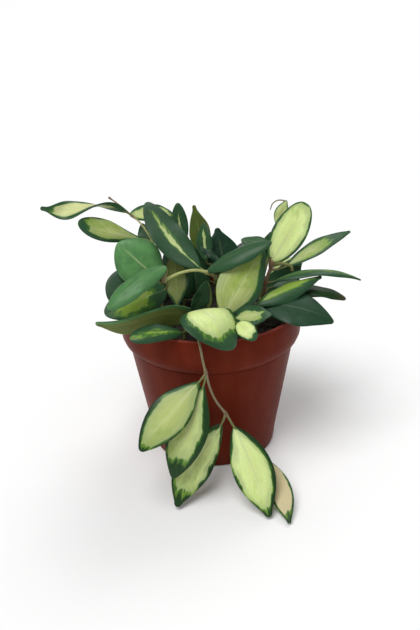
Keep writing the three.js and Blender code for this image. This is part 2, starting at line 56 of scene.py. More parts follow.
# Outline of a blade: the powers that shape its base and its tip, where a small one is blunt and a
# large one drawn out, and the share of its length at which it is widest.
OUTLINES = {
    "acute": (0.85, 0.80, 0.46),
    "long": (0.95, 0.95, 0.45),
    "oblong": (0.55, 0.55, 0.47),
    "round": (0.60, 0.60, 0.50),
    "paddle": (0.70, 0.42, 0.55),
    "spoon": (0.72, 0.55, 0.48),
    "wedge": (0.70, 1.15, 0.40),
    "blunt": (1.05, 0.70, 0.50),
    "lance": (0.75, 0.90, 0.50),
    "block": (0.55, 0.42, 0.50),
    "broad": (0.42, 0.80, 0.36),
    "curl": (0.60, 1.50, 0.62),
    "club": (0.75, 0.50, 0.66),
    "fan": (1.00, 0.52, 0.58),
    "pod": (0.38, 0.54, 0.55),
    "slab": (0.50, 0.38, 0.58),
}


def leaf(base, tip, width, face, stalk, bow=0.0, swing=(0, 0, 0), sway=0.0, twist=0.0, fold=0.0,
         outline="acute", edge=1.4, point=0.0, heel=0.0, ragged=0.1, lean=0.0, drift=0.0, tone=0.2,
         warm=0.0, bright=0.5, deep=0.0, flush=0.0, rib=0.12, feather=0.0, brown=0.0):
    """One leaf. Its place: base and tip are the ends of the midrib, face the way that the upper
    side looks, stalk the point where the stalk leaves the stem. Its form: width is the greatest,
    outline one of those above, bow lifts the middle along the face, swing moves it, sway bends the
    midrib in an S, twist turns the tip against the base and fold bends each half, both in degrees.
    Its marks: edge is the share of each half that is green, point and heel the green shares of the
    length at the tip and base, ragged how far the green wanders, lean how much more green the side
    of positive v has, drift how much more green the tip end has, tone from blue-green 0 to grass
    green 1, warm from lime 0 to pink 1, bright the lightness of the cream, deep how dark and full
    the green is, flush the yellow-green in the cream, rib how plainly the veins show, feather the
    width of the mid-green, brown a dry tip. Lean and drift are kept as shares from 0 to 1, where a
    half is none."""
    return dict(base=base, tip=tip, width=width, face=face, stalk=stalk, bow=bow, swing=swing,
                sway=sway, twist=twist, fold=fold, outline=outline,
                mark=(edge, point, ragged, lean / 2 + 0.5), tint=(tone, warm, bright, deep),
                extra=(heel, drift / 2 + 0.5, flush, rib), more=(feather, brown))


def srgb(red, green, blue):
    """A colour given in 0-255 steps, as the linear numbers that a shader takes."""
    c = np.array([red, green, blue]) / 255.0
    return tuple(float(v) for v in np.where(c <= 0.04045, c / 12.92, ((c + 0.055) / 1.055) ** 2.4))


# Colours of the stems, stored on their points.
BROWN, TAN, OLIVE = srgb(112, 84, 52), srgb(134, 122, 92), srgb(112, 118, 62)
YELLOW, PINK = srgb(176, 184, 112), srgb(150, 112, 100)


def vine(root, stem, *leaves, radius=1.05, slim=1.0, bark=(OLIVE,), joints=(), spurs=()):
    """One vine: root is where it stands in the potting mix, stem the points of its stem above the
    mix, radius the stem's, slim the share of it left at the end, bark its colours from root to
    end, joints the places that swell, spurs its bare side shoots, each with a radius, a colour and
    points."""
    return dict(root=root, stem=stem, leaves=leaves, radius=radius, slim=slim, bark=bark,
                joints=joints, spurs=spurs)


VINES = {}

VINES["trailing_vine"] = vine(
    (-15, -26), [(-14, -34, 99), (-11.5, -46, 103.2), (-8.5, -57, 105), (-7, -63, 101.5),
                 (-5.5, -64.5, 92), (-4, -64.5, 84), (-1.6, -63.5, 72), (1.8, -61.5, 62),
                 (7.4, -59.5, 52), (14, -57, 38), (24, -56, 26), (30, -56, 17)],
    leaf((-7, -66, 80), (-44, -90, 47), 24, (-0.1, -0.9, 0.45), (-4, -64.5, 84), bow=1,
         swing=(-0.7, 0, 0.6), fold=-12, outline="blunt", edge=0.17, point=0.08, lean=-0.08,
         bright=0.15, deep=0.9, flush=0.3, rib=0.25, feather=0.04),
    leaf((-5, -65, 77), (-26, -86, 24), 25, (-0.25, -0.9, 0.3), (-4, -64.5, 84), bow=2,
         swing=(-0.3, 0, 0), fold=-12, outline="blunt", edge=0.24, point=0.2, ragged=0.18,
         lean=0.06, deep=0.9, flush=0.35, rib=0.25, feather=0.06),
    # Painted light: this leaf's cream is set brighter to make up for the shade of the leaves above
    # it.
    leaf((5, -62, 46), (-24.5, -87, 3), 24, (0.1, -0.9, 0.4), (7, -59.5, 52), bow=-1,
         swing=(-3, 0, 0.6), fold=-12, outline="lance", edge=0.22, point=0.2, ragged=0.18,
         lean=-0.08, bright=1.0, deep=0.9, flush=0.3, rib=0.25, feather=0.06),
    leaf((12, -63, 45), (31.4, -98.5, 2.4), 25.3, (0.1, -0.9, 0.4), (7.4, -59.5, 52), bow=2,
         swing=(1.4, 0, 0), fold=-12, outline="lance", edge=0.19, point=0.09, ragged=0.12,
         lean=0.08, bright=0.8, deep=0.9, flush=0.1, rib=0.3, feather=0.04),
    leaf((31, -57, 16), (43, -104, 2), 15, (-0.1, -0.6, 0.8), (30, -56, 17), bow=1,
         swing=(2.2, 0, 0), fold=-10, outline="lance", edge=0.14, point=0.13, heel=0.1, ragged=0.14,
         warm=0.9, bright=0.75, deep=0.8, feather=0.08),
    radius=0.75, bark=(OLIVE, TAN, TAN), joints=[(-4, -64.5, 84), (7.4, -59.5, 52)])

VINES["crossing_vine"] = vine(
    (13, -14), [(13, -13, 104), (10, -15, 114), (5, -19, 125), (-1, -25, 132.5), (-9, -29, 136),
                (-18, -34, 136.3), (-28, -40, 134)],
    leaf((-5.5, -25, 135.5), (-38, -2, 172), 19.5, (0.05, -0.85, 0.5), (-1, -25, 132.5), bow=1,
         swing=(-2.4, 0, -2), fold=14, outline="spoon", edge=0.88, point=0.2, ragged=0.22,
         drift=0.08, tone=0.15, bright=0.55, flush=0.3, feather=0.12),
    leaf((-2, -25, 133), (38.6, -23.9, 151), 17, (-0.1, -0.35, 0.9), (-1, -25, 132.5), bow=3,
         fold=-45, outline="spoon", rib=0.08),
    leaf((-25.4, -42, 143.8), (-59.3, -62, 126.3), 16.2, (-0.2, -0.55, 0.8), (-28, -40, 134),
         bow=3.6, swing=(0, 0, 0.6), fold=-30, outline="pod", tone=0.75, rib=0.1),
    leaf((-26.5, -33.5, 126), (-64, -45.5, 116), 22, (0.1, -0.8, 0.6), (-28, -40, 134), fold=12,
         outline="oblong", edge=0.5, point=0.25, heel=0.28, ragged=0.36, bright=0.0, flush=1.0,
         feather=0.24),
    radius=0.95, bark=(OLIVE, BROWN, YELLOW, YELLOW), joints=[(-1, -25, 132.5), (-28, -40, 134)])

VINES["upper_left_vine"] = vine(
    (-22, 3), [(-23, 2, 106), (-28, 1, 120), (-32, 1, 134), (-37, 2, 147), (-44, 6, 157),
               (-48, 8, 160), (-56, 10, 167), (-63, 12, 172)],
    leaf((-50, 8, 162), (-104, -4, 171), 16, (0.16, -0.01, 0.98), (-48, 8, 160), bow=2.2, sway=2.6,
         twist=180, fold=10, outline="curl", edge=0.36, point=0.14, ragged=0.14, drift=-0.12,
         tone=0.3, warm=0.35, bright=0.8, deep=0.2),
    leaf((-50, 10, 160.5), (-23, 26, 155), 12.5, (0, -0.8, 0.6), (-48, 8, 160), bow=3,
         outline="oblong", edge=0.26, point=0.12, ragged=0.15, tone=0.4, bright=0.7),
    leaf((-39.5, 2, 146), (-81, -6, 162), 14.5, (0.1, -0.85, 0.5), (-36, 2, 144), bow=1,
         swing=(0, 0, -1.4), fold=-14, outline="club", edge=0.26, point=0.14, heel=0.05,
         ragged=0.14, lean=0.16, bright=0.1, flush=0.4, feather=0.06),
    leaf((-38, 4, 141), (-43, 12, 154), 11, (-0.1, -0.85, 0.5), (-35, 2, 142)),
    radius=0.85, slim=0.55, bark=(OLIVE, YELLOW, YELLOW, PINK),
    joints=[(-48, 8, 160), (-63, 12, 172)])

VINES["left_vine"] = vine(
    (-30, -14), [(-31, -14, 104), (-31, -15, 116), (-29, -13, 126), (-25, -9, 135), (-22, -7, 141)],
    leaf((-31.5, -19, 126), (-56.5, -14, 150), 30, (-0.1, -0.85, 0.5), (-31, -15, 116), bow=3,
         fold=-14, outline="round", tone=1.0, rib=0.45),
    leaf((-38, -9, 119), (-60, -6, 133), 16, (-0.1, -0.85, 0.5), (-31, -15, 116), bow=2),
    leaf((-37, -15, 120), (-65.3, -24, 121.4), 28, (-0.1, -0.8, 0.5), (-31, -15, 116), bow=2,
         outline="block", tone=0.1),
    leaf((-22, -8, 141), (-21, -24, 109), 17, (0.1, 0.8, 0.2), (-22, -7, 141), bow=2,
         outline="long", edge=0.2, ragged=0.2, bright=0.3),
    joints=[(-31, -15, 116)])

VINES["low_left_vine"] = vine(
    (-17, -34), [(-17, -34, 99), (-16.5, -35, 105), (-15.5, -35.5, 110)],
    leaf((-12.3, -36.5, 111), (-68, -58, 116), 23, (-0.1, 0.88, 0.42), (-15.5, -35.5, 110),
         swing=(0, 0, -0.3), sway=2.5, fold=-40, outline="broad", edge=0.3, ragged=0.05, lean=0.34,
         tone=0.9, bright=0.2, flush=0.2),
    leaf((-17, -50, 103.6), (-47.5, -66, 108.7), 12.7, (-0.1, -0.6, 0.8), (-16.5, -35, 105), bow=4,
         fold=-10, outline="slab", edge=0.99, point=0.1, ragged=0.3, tone=0.15, bright=0.0,
         flush=1.0, feather=0.4))

VINES["front_vine"] = vine(
    (4, -34), [(4, -35, 99), (7, -38, 104), (12, -43, 110)],
    leaf((-16, -40.5, 107.3), (12.8, -69, 101.6), 39.5, (0.35, -0.3, 1), (4, -35, 99), bow=14.7,
         swing=(-3.4, 0, 0), fold=-15, outline="fan", edge=0.25, point=0.15, heel=0.27, ragged=0.16,
         lean=-0.1, bright=0.85, flush=0.15, feather=0.08),
    leaf((-12, -29, 107), (-2, -22, 126), 13, (0.7, -0.7, 0.3), (4, -34, 96), bow=2, fold=20),
    leaf((-1, -21, 105), (-1, -14, 123), 6, (0, 0.9, 0.1), (4, -34, 96), edge=0.3),
    leaf((8, -42, 110), (35, -16, 142), 28, (0.15, -0.9, 0.4), (7, -38, 104), bow=3,
         swing=(-2.2, 0.8, 0.5), fold=-12, edge=0.2, point=0.1, ragged=0.12, lean=-0.2, drift=0.16,
         bright=0.0, flush=0.55, feather=0.06),
    leaf((16, -53, 110.3), (26, -66, 105.7), 11, (0, -0.8, 0.6), (12, -43, 110), bow=3,
         outline="block", edge=0.13, point=0.16, bright=0.8),
    leaf((14, -45, 110), (36, -56, 117), 14, (0, -0.7, 0.7), (12, -43, 110), bow=1, fold=15,
         edge=0.48, point=0.25, ragged=0.22, bright=0.2, flush=0.3))

VINES["right_tall_vine"] = vine(
    (35, -10), [(35, -11, 104), (35, -13, 113), (36, -12, 120), (39, -8, 127), (41, -6, 131)],
    leaf((40, -4.5, 130), (63.4, 8, 165.2), 22, (0.1, -0.9, 0.45), (41, -6, 131), bow=2, fold=10,
         outline="block", edge=0.13, point=0.03, ragged=0.07, drift=-0.05, tone=0.3, bright=1.0,
         flush=0.12),
    leaf((49, -6, 127), (91, 0, 148), 11, (-0.2, -0.7, 0.7), (39, -8, 127), bow=1, swing=(0, 0, 1),
         fold=20, edge=0.3, point=0.36, ragged=0.14, bright=0.1, flush=0.9, feather=0.1),
    leaf((40, -14, 120), (97, -12, 119), 10, (0.1, -0.1, 1), (36, -12, 120), bow=7, fold=-20,
         edge=1.0, point=0.2, ragged=0.2, lean=-0.4, bright=0.0, flush=1.0, feather=0.4),
    leaf((40, -9, 115), (63, -4, 116), 9, (0.1, -0.4, 0.9), (35, -13, 113)),
    bark=(OLIVE, BROWN, BROWN), joints=[(36, -12, 120), (41, -6, 131)],
    spurs=[(0.8, BROWN, [(39, -8, 127), (38.5, -10, 132), (39.5, -10, 136)]),
           (1.3, OLIVE, [(41, -6, 129), (46, -9, 131), (52, -10, 129.5), (53, -10, 126)])])

VINES["right_low_vine"] = vine(
    (29, -22), [(29, -24, 101), (29, -28, 110), (28, -30, 113)],
    leaf((27.5, -31, 112), (71, -16, 124), 16.5, (-0.1, -0.35, 0.9), (28, -30, 113), bow=1.5,
         fold=-45, outline="long", edge=0.72, point=0.2, ragged=0.2, lean=-0.52, tone=0.15,
         bright=0.0, flush=1.0, feather=0.35),
    leaf((46, -17, 112), (87.7, -12, 106.4), 12, (0, -0.3, 1), (29, -26, 106), bow=6, fold=-25,
         outline="paddle", tone=0.0, deep=0.9, brown=0.9),
    leaf((33, -28, 110), (76, -38, 102), 26, (0.1, -0.5, 0.9), (29, -28, 110), bow=3,
         swing=(0.5, 0, 2), fold=-10, tone=0.05, rib=0.05))

VINES["back_centre_vine"] = vine(
    (5, 14), [(5, 13, 104), (4, 10, 116), (3, 9, 126)],
    leaf((-3, 14, 132), (-9, 26, 161), 15.5, (0.2, 0.9, 0.3), (3, 9, 126), outline="wedge"),
    leaf((-2, 2, 130), (-3, 12, 153), 11, (-0.3, -0.85, 0.4), (3, 9, 126), edge=0.8, ragged=0.2),
    leaf((10, 6, 123), (6, 16, 148), 23, (0.1, -0.85, 0.4), (4, 10, 116), outline="wedge",
         tone=0.0),
    leaf((7, -9, 134), (-6, -4, 142), 5, (0, -0.5, 0.8), (3, 9, 126), tone=0.0),
    leaf((16, 10, 98), (19, 26, 130), 26, (0, -0.9, 0.3), (5, 13, 96)))

VINES["back_left_vine"] = vine(
    (-18, 18), [(-18, 18, 104), (-19, 19, 116), (-18, 21, 128)],
    leaf((-18, 26, 133), (-20, 36, 160), 11.5, (0, -0.85, 0.5), (-18, 21, 128), outline="oblong",
         edge=0.86, ragged=0.15, lean=-0.1, drift=0.3, bright=0.4),
    leaf((-15, 13, 99), (-28, 16, 135), 22, (-0.2, -0.9, 0.3), (-18, 18, 96)),
    leaf((-8, 17, 99), (-12, 28, 136), 22, (0, -0.9, 0.3), (-18, 18, 96)),
    leaf((-24, 26, 112), (-64, 44, 126), 22, (-0.2, 0.5, 0.85), (-19, 19, 112), bow=4, fold=-10,
         edge=0.3, point=0.15, ragged=0.2),
    leaf((-30, 22, 104), (-68, 24, 103), 21, (-0.1, 0.1, 1), (-18, 18, 100), bow=6, fold=-10,
         edge=0.5, point=0.2, ragged=0.2, bright=0.4, flush=0.3))

VINES["back_right_vine"] = vine(
    (34, 14), [(35, 14, 104), (37, 14, 116), (40, 14, 128), (43, 12.5, 142), (44, 11.5, 149)],
    leaf((41, 16, 135), (22, 22, 137), 10, (0, -0.6, 0.8), (40, 14, 128), outline="oblong",
         tone=0.3),
    leaf((37, 18, 122), (42, 22, 142), 10, (0, -0.6, 0.8), (37, 14, 116)),
    # Painted light: this leaf's cream is set brighter to make up for the little light on its
    # near-upright face.
    leaf((44.4, 11, 150.9), (51, 10, 167), 8.5, (0, -0.9, 0.4), (44, 11.5, 149), edge=0.12,
         ragged=0.08, tone=0.9, warm=0.1, bright=1.0),
    leaf((44, 15, 104), (64, 26, 122.5), 14, (-0.2, -0.9, 0.3), (35, 14, 101)),
    leaf((37, 6, 100), (60, 4, 123.5), 20, (-0.2, -0.9, 0.3), (34, 14, 97)),
    leaf((42, 26, 108), (74, 52, 112), 22, (0.2, 0.5, 0.85), (35, 14, 104), bow=5, fold=-10,
         edge=0.4, point=0.15, ragged=0.2, bright=0.4, flush=0.3),
    spurs=[(0.5, TAN, [(51, 10, 166), (48.5, 10, 167), (45, 10, 167), (42, 10, 165),
                       (40.5, 10, 161)])])

VINES["back_vine"] = vine(
    (4, 36), [(4, 38, 100), (2, 44, 107), (-2, 52, 110)],
    leaf((-7, 50, 108), (-44, 72, 98), 24, (-0.2, 0.4, 0.9), (2, 44, 107), bow=6, fold=-10,
         edge=0.35, point=0.15, ragged=0.2),
    leaf((8, 50, 108), (42, 74, 94), 25, (0.2, 0.4, 0.9), (2, 44, 107), bow=6, fold=-10, edge=0.25,
         point=0.12, ragged=0.15),
    leaf((-2, 57, 109), (-4, 88, 66), 25, (0, 0.85, 0.5), (-2, 52, 110), bow=5, fold=-10, edge=0.2,
         point=0.1, ragged=0.15, bright=0.4),
    leaf((-3, 34, 106), (-36, 54, 122), 20, (-0.2, 0.5, 0.85), (4, 38, 99), bow=3, fold=-10,
         tone=0.6),
    leaf((10, 35, 106), (30, 54, 126), 20, (0, 0.7, 0.7), (4, 38, 99), bow=3, fold=-10,
         outline="oblong", edge=0.5, ragged=0.25, flush=0.3))

# Leaves: radius of the rounded tip as a share of the width, height of the margin's waves, the least
# fold in degrees, the power that keeps a blade thick to near its margin, how fast it thins out
# towards its ends, how far its first and last rows stay off them, and the slant of the side veins.
TIP_ROUND = 0.09
MARGIN_WAVE = 0.5
LEAST_FOLD = 0.01
MARGIN_POWER = 10
END_TAPER = 2.5
END_GAP = 0.004
VEIN_SLANT = 0.24

# Stems: heights at which each stands upright in its hole, length of a segment, how much a joint
# swells and how far that reaches. Spurs and stalks: length of a spur's segment, points of a stalk,
# and how thick each is at its end as a share of its start.
ROOT_LEVELS = (79.5, 92.6, 93.8)
STEM_STEP = 1.4
JOINT_SWELL = 0.75
JOINT_REACH = 2.0
SPUR_STEP = 0.8
STALK_POINTS = 16
SPUR_TAPER, STALK_TAPER = 0.7, 0.62

# Pot: profile of its wall, radius and height, up the outside and down the inside; the length of a
# step along it, the number of its sides, the angle in degrees from which an edge is sharp; the
# drain holes, radius of their ring, radius of each and the heights it is cut between.
POT_OUTSIDE = [(40.2, 0), (41.6, 0.5), (42.3, 2), (43.3, 10), (55.0, 76.9), (54.85, 77.2),
               (54.9, 77.6), (55.7, 78.2), (58.2, 80.6), (59.6, 84), (60.0, 88), (60.0, 96),
               (59.7, 100.6), (59.2, 101.8)]
POT_INSIDE = [(58.1, 101.8), (57.9, 101.2), (58.5, 96), (58.4, 88.2), (57.6, 84.6), (55.9, 81.8),
              (53.5, 78.2), (41.4, 10), (40.4, 2.2)]
PROFILE_STEP = 6
POT_SIDES = 160
SHARP_ANGLE = 35
DRAIN_HOLES = 8
DRAIN_RING = 27
DRAIN_RADIUS = 4
DRAIN_CUT = [[-1.0], [3.2]]

# Potting mix: radius and height up its side, radius of its top, height of the top at the rim, rise
# towards the middle, height and number of the lumps, highest point. Crumbs: their number, how far
# out they lie, the spans of their places, turns and sizes, and the width and height of a crumb's
# three rings as shares of its size.
BED_SIDE = [(39.0, 2.6), (41.0, 10), (53.1, 78.3), (55.5, 81.8), (57.2, 84.6), (58.0, 88.2)]
BED_RADIUS = 57.9
BED_LEVEL = 90.7
BED_CROWN = 1.28
LUMP_HEIGHT = 0.42
LUMPS = 26
BED_HIGHEST = 92.9
BED_SIDES, BED_ROWS = 144, 58
CRUMBS = 420
CRUMB_REACH = 50
CRUMB_SPANS = [(-44, 44), (-44, 44), (0, 6.28), (0.5, 1.5)]
CRUMB_RINGS = [(0.35, -0.4), (1.0, 0.1), (0.55, 0.6)]

# Camera: place in metres; turns in radians, down from level, to the right and about the view; lens
# in millimetres.
CAMERA_PLACE = (0, -0.466, 0.3055)
CAMERA_PITCH, CAMERA_YAW, CAMERA_ROLL = 0.429, -0.001, -0.032
CAMERA_LENS = 43.71


# ---- small helpers
def unit(v):
    """v divided by its length, along the last axis."""
    v = np.asarray(v, float)
    return v / np.maximum(np.linalg.norm(v, axis=-1, keepdims=True), 1e-12)


def circle(count):
    """That many angles, evenly round a full turn."""
    return np.linspace(0, 2 * np.pi, count, endpoint=False)


def level_rings(angle, radius, z, x=0.0, y=0.0):
    """Points at those angles of level circles about x and y, in whole arrays."""
    flat = x + radius * np.cos(angle), y + radius * np.sin(angle)
    return np.stack(np.broadcast_arrays(*flat, z), -1)


def ring_faces(rows, around):
    """Quads between rows of points that close on themselves, row by row."""
    i, k = np.meshgrid(np.arange(rows - 1), np.arange(around), indexing="ij")
    after = (k + 1) % around
    near, far = i * around, (i + 1) * around
    return np.stack([near + k, near + after, far + after, far + k], -1).reshape(-1, 4)


class Skin:
    """Gathers closed tubes of points into one mesh with its named values per point."""

    def __init__(self):
        self.points, self.faces, self.values, self.count = [], [], {}, 0

    def add(self, rings, **values):
        """rings is rows x around x 3. A middle point each closes its first row and its last."""
        rows, around = rings.shape[:2]
        flat = rings.reshape(-1, 3)
        quads = ring_faces(rows, around) + self.count
        low, high = self.count + len(flat), self.count + len(flat) + 1
        first = self.count + np.arange(around)
        last = first + (rows - 1) * around
        caps = np.concatenate([
            np.stack([np.full(around, low), np.roll(first, -1), first], -1),
            np.stack([np.full(around, high), last, np.roll(last, -1)], -1)])
        self.points.append(np.concatenate([flat, [rings[0].mean(0)], [rings[-1].mean(0)]]))
        self.faces += quads.tolist() + caps.tolist()
        for name, grid in values.items():
            grid = np.asarray(grid, float)
            grid = np.broadcast_to(grid, (rows, around) + grid.shape[-1:])
            ends = np.stack([grid[0].mean(0), grid[-1].mean(0)])
            self.values.setdefault(name, []).append(
                np.concatenate([grid.reshape(-1, grid.shape[-1]), ends]))
        self.count += len(flat) + 2

    def build(self, name, material):
        """Puts the gathered points, in metres, into a mesh object of that name."""
        mesh = bpy.data.meshes.new(name)
        points = np.concatenate(self.points) * MM
        mesh.from_pydata(points.tolist(), [], self.faces)
        for key, parts in self.values.items():
            layer = mesh.attributes.new(key, "FLOAT_COLOR", "POINT")
            layer.data.foreach_set("color", np.concatenate(parts).astype(np.float32).ravel())
        mesh.shade_smooth()
        mesh.update()
        mesh.validate()
        piece = bpy.data.objects.new(name, mesh)
        bpy.context.scene.collection.objects.link(piece)
        mesh.materials.append(material)
        return piece


# ---- leaf and stem surfaces
def half_width(leaf_, u):
    """Half the width at share u of the length: sin(pi u^p), raised to the base's power before the
    widest point and to the tip's power after it; p puts the widest point in its place. The tip
    ends in a round: past the widest point, the fourth root of the sum of the fourth powers of that
    and of the half chord of a circle at the tip, whose radius is a share of the width."""
    base, tip, widest = OUTLINES[leaf_["outline"]]
    power = math.log(0.5) / math.log(widest)
    rise = np.maximum(np.sin(np.pi * u ** power), 0.0)
    half = leaf_["width"] / 2 * rise ** np.where(u < widest, base, tip)
    radius = TIP_ROUND * leaf_["width"]
    length = np.linalg.norm(np.array(leaf_["tip"], float) - leaf_["base"])
    left = np.minimum((1 - u) * length, radius)
    cap = np.sqrt(np.maximum(2 * radius * left - left ** 2, 0.0))
    return np.where(u > widest, (half ** 4 + cap ** 4) ** 0.25, half)


def midrib(leaf_, u):
    """Places and headings along the midrib: a quadratic curve from base to tip whose middle is
    lifted by bow along the face and moved by swing, plus sway times sin(2 pi u) along the face."""
    base, tip = np.array(leaf_["base"], float), np.array(leaf_["tip"], float)
    along = unit(tip - base)
    face = unit(leaf_["face"])
    face = unit(face - (face @ along) * along)
    control = (base + tip) / 2 + 2 * leaf_["bow"] * face + 2 * np.array(leaf_["swing"], float)
    u = np.asarray(u, float)[:, None]
    place = (1 - u) ** 2 * base + 2 * u * (1 - u) * control + u * u * tip
    place = place + leaf_["sway"] * np.sin(2 * np.pi * u) * face
    heading = 2 * (1 - u) * (control - base) + 2 * u * (tip - control)
    heading = unit(heading + 2 * np.pi * leaf_["sway"] * np.cos(2 * np.pi * u) * face)
    return place, heading


def blade(leaf_, number, sizes, rows=46, columns=19):
    """A leaf as a closed skin, and its values by name. u runs from base to tip and v across, from
    -1 to 1. The cross-section is an arc that bends by fold on each half, turned about the midrib
    by twist from base to tip. The upper and lower face stand half the thickness off it, and the
    thickness falls to nothing at the margin and at both ends. The margin waves by v squared times
    sin(2 pi k u + a) times sin(pi u), with k and a drawn at random."""
    draw = np.random.default_rng(SEED + number)
    u = 0.5 - 0.5 * np.cos(np.pi * np.linspace(END_GAP, 1 - END_GAP, rows))
    across = np.sin(np.linspace(-0.5, 0.5, columns) * np.pi)
    v = np.concatenate([across, across[::-1]])
    lift = np.concatenate([np.ones(columns), -np.ones(columns)])
    place, heading = midrib(leaf_, u)
    level = unit(leaf_["face"])
    level = unit(level - (heading @ level)[:, None] * heading)
    side = np.cross(level, heading)
    turn = (np.radians(leaf_["twist"]) * (u - 0.5))[:, None]
    up = level * np.cos(turn) + side * np.sin(turn)
    side = side * np.cos(turn) - level * np.sin(turn)
    fold = math.radians(leaf_["fold"] or LEAST_FOLD)
    half = half_width(leaf_, u)
    waves, shift = draw.uniform(1.4, 2.6), draw.uniform(0, 2 * np.pi, 2)
    phase = np.where(v < 0, shift[0], shift[1])[None, :]
    ripple = MARGIN_WAVE * v[None, :] ** 2 * np.sin(2 * np.pi * waves * u[:, None] + phase)
    ripple = ripple * np.sin(np.pi * u)[:, None]
    centre = (place[:, None] + side[:, None] * (half[:, None] * np.sin(fold * v) / fold)[..., None]
              + up[:, None] * (half[:, None] * (1 - np.cos(fold * v)) / fold + ripple)[..., None])
    normal = (up[:, None] * np.cos(fold * v)[None, :, None]
              - side[:, None] * np.sin(fold * v)[None, :, None])
    rib, rim = sizes.leaf_thickness / MM, sizes.margin_thickness / MM
    thick = rim + (rib - rim) * (1 - v ** 2)
    rounding = np.sqrt(np.maximum(1 - np.abs(v) ** MARGIN_POWER, 0))
    ends = np.sqrt(np.clip(half / half.max() * END_TAPER, 0, 1))
    skin = centre + normal * (lift * thick * rounding * ends[:, None] / 2)[..., None]
    shape = skin.shape[:2]
    under = (lift < 0).astype(float)
    spread = [np.broadcast_to(a, shape) for a in
              (u[:, None], v / 2 + 0.5, draw.uniform(0, 1), under, (half / half.max())[:, None],
               *leaf_["more"], 1.0)]
    values = {key: np.broadcast_to(np.array(leaf_[key]), shape + (4,))
              for key in ("mark", "tint", "extra")}
    return skin[:, ::-1], dict(where=np.stack(spread[:4], -1)[:, ::-1], **values,
                               more=np.stack(spread[4:], -1))


def smooth_path(points, step):
    """Points along the centripetal Catmull-Rom curve through the given ones, about step apart."""
    p = np.array(points, float)
    p = np.concatenate([[2 * p[0] - p[1]], p, [2 * p[-1] - p[-2]]])
    out = []
    for i in range(1, len(p) - 2):
        knots = np.sqrt(np.linalg.norm(np.diff(p[i - 1:i + 3], axis=0), axis=1))
        before = (p[i] - p[i - 1]) / knots[0] - (p[i + 1] - p[i - 1]) / (knots[0] + knots[1])
        before = (before + (p[i + 1] - p[i]) / knots[1]) * knots[1]
        after = (p[i + 1] - p[i]) / knots[1] - (p[i + 2] - p[i]) / (knots[1] + knots[2])
        after = (after + (p[i + 2] - p[i + 1]) / knots[2]) * knots[1]
        parts = max(2, int(round(np.linalg.norm(p[i + 1] - p[i]) / step)))
        t = np.linspace(0, 1, parts, endpoint=False)[:, None]
        cube = 2 * p[i] - 2 * p[i + 1] + before + after
        square = -3 * p[i] + 3 * p[i + 1] - 2 * before - after
        out.append(p[i] + before * t + square * t * t + cube * t ** 3)
    out.append(p[-2][None])
    return np.concatenate(out)


def tube(path, radius, sides=14):
    """Rings of radius around a path: each ring's own axes are the last one's, made square to the
    heading. radius may be one number or one for each point."""
    heading = unit(np.gradient(path, axis=0))
    side = np.array([1.0, 0.0, 0.0])
    axes = np.empty((len(path), 2, 3))
    for i, way in enumerate(heading):
        side = unit(side - (side @ way) * way)
        axes[i] = side, np.cross(way, side)
    angle = circle(sides)
    radius = np.broadcast_to(radius, len(path))[:, None, None]
    ring = axes[:, :1] * np.cos(angle)[None, :, None] + axes[:, 1:] * np.sin(angle)[None, :, None]
    return path[:, None] + radius * ring


def swelling(path, joints):
    """Thickness along a stem as a share of its plain one: 1, and for each joint, at distance d, the
    joint's swell times exp(-(d / reach)^2) more."""
    bulge = np.ones(len(path))
    for joint in joints:
        away = np.linalg.norm(path - np.array(joint, float), axis=1)
        bulge += JOINT_SWELL * np.exp(-(away / JOINT_REACH) ** 2)
    return bulge


def stalk_path(leaf_):
    """A quadratic curve from the stem to a tenth of the way up the midrib, arriving along it."""
    start, base = np.array(leaf_["stalk"], float), np.array(leaf_["base"], float)
    end, heading = midrib(leaf_, [0.1])[0][0], midrib(leaf_, [0.0])[1][0]
    control = base - heading * 0.4 * np.linalg.norm(start - base)
    t = np.linspace(0, 1, STALK_POINTS)[:, None]
    return (1 - t) ** 2 * start + 2 * t * (1 - t) * control + t * t * end


def bark_values(path, colours, bulge=1.0):
    """The stem's colour along its path, blended evenly between the given ones, and browner where
    bulge, its swelling, is more than 1."""
    table = np.array(colours)
    at = np.linspace(0, len(table) - 1, len(path))
    shade = np.stack([np.interp(at, np.arange(len(table)), table[:, c]) for c in range(3)], -1)
    brown = np.broadcast_to(0.9 * (np.asarray(bulge) - 1), len(path))[:, None]
    shade = shade * (1 - brown) + np.array(BROWN) * brown
    return np.concatenate([shade, np.ones((len(path), 1))], -1)[:, None]


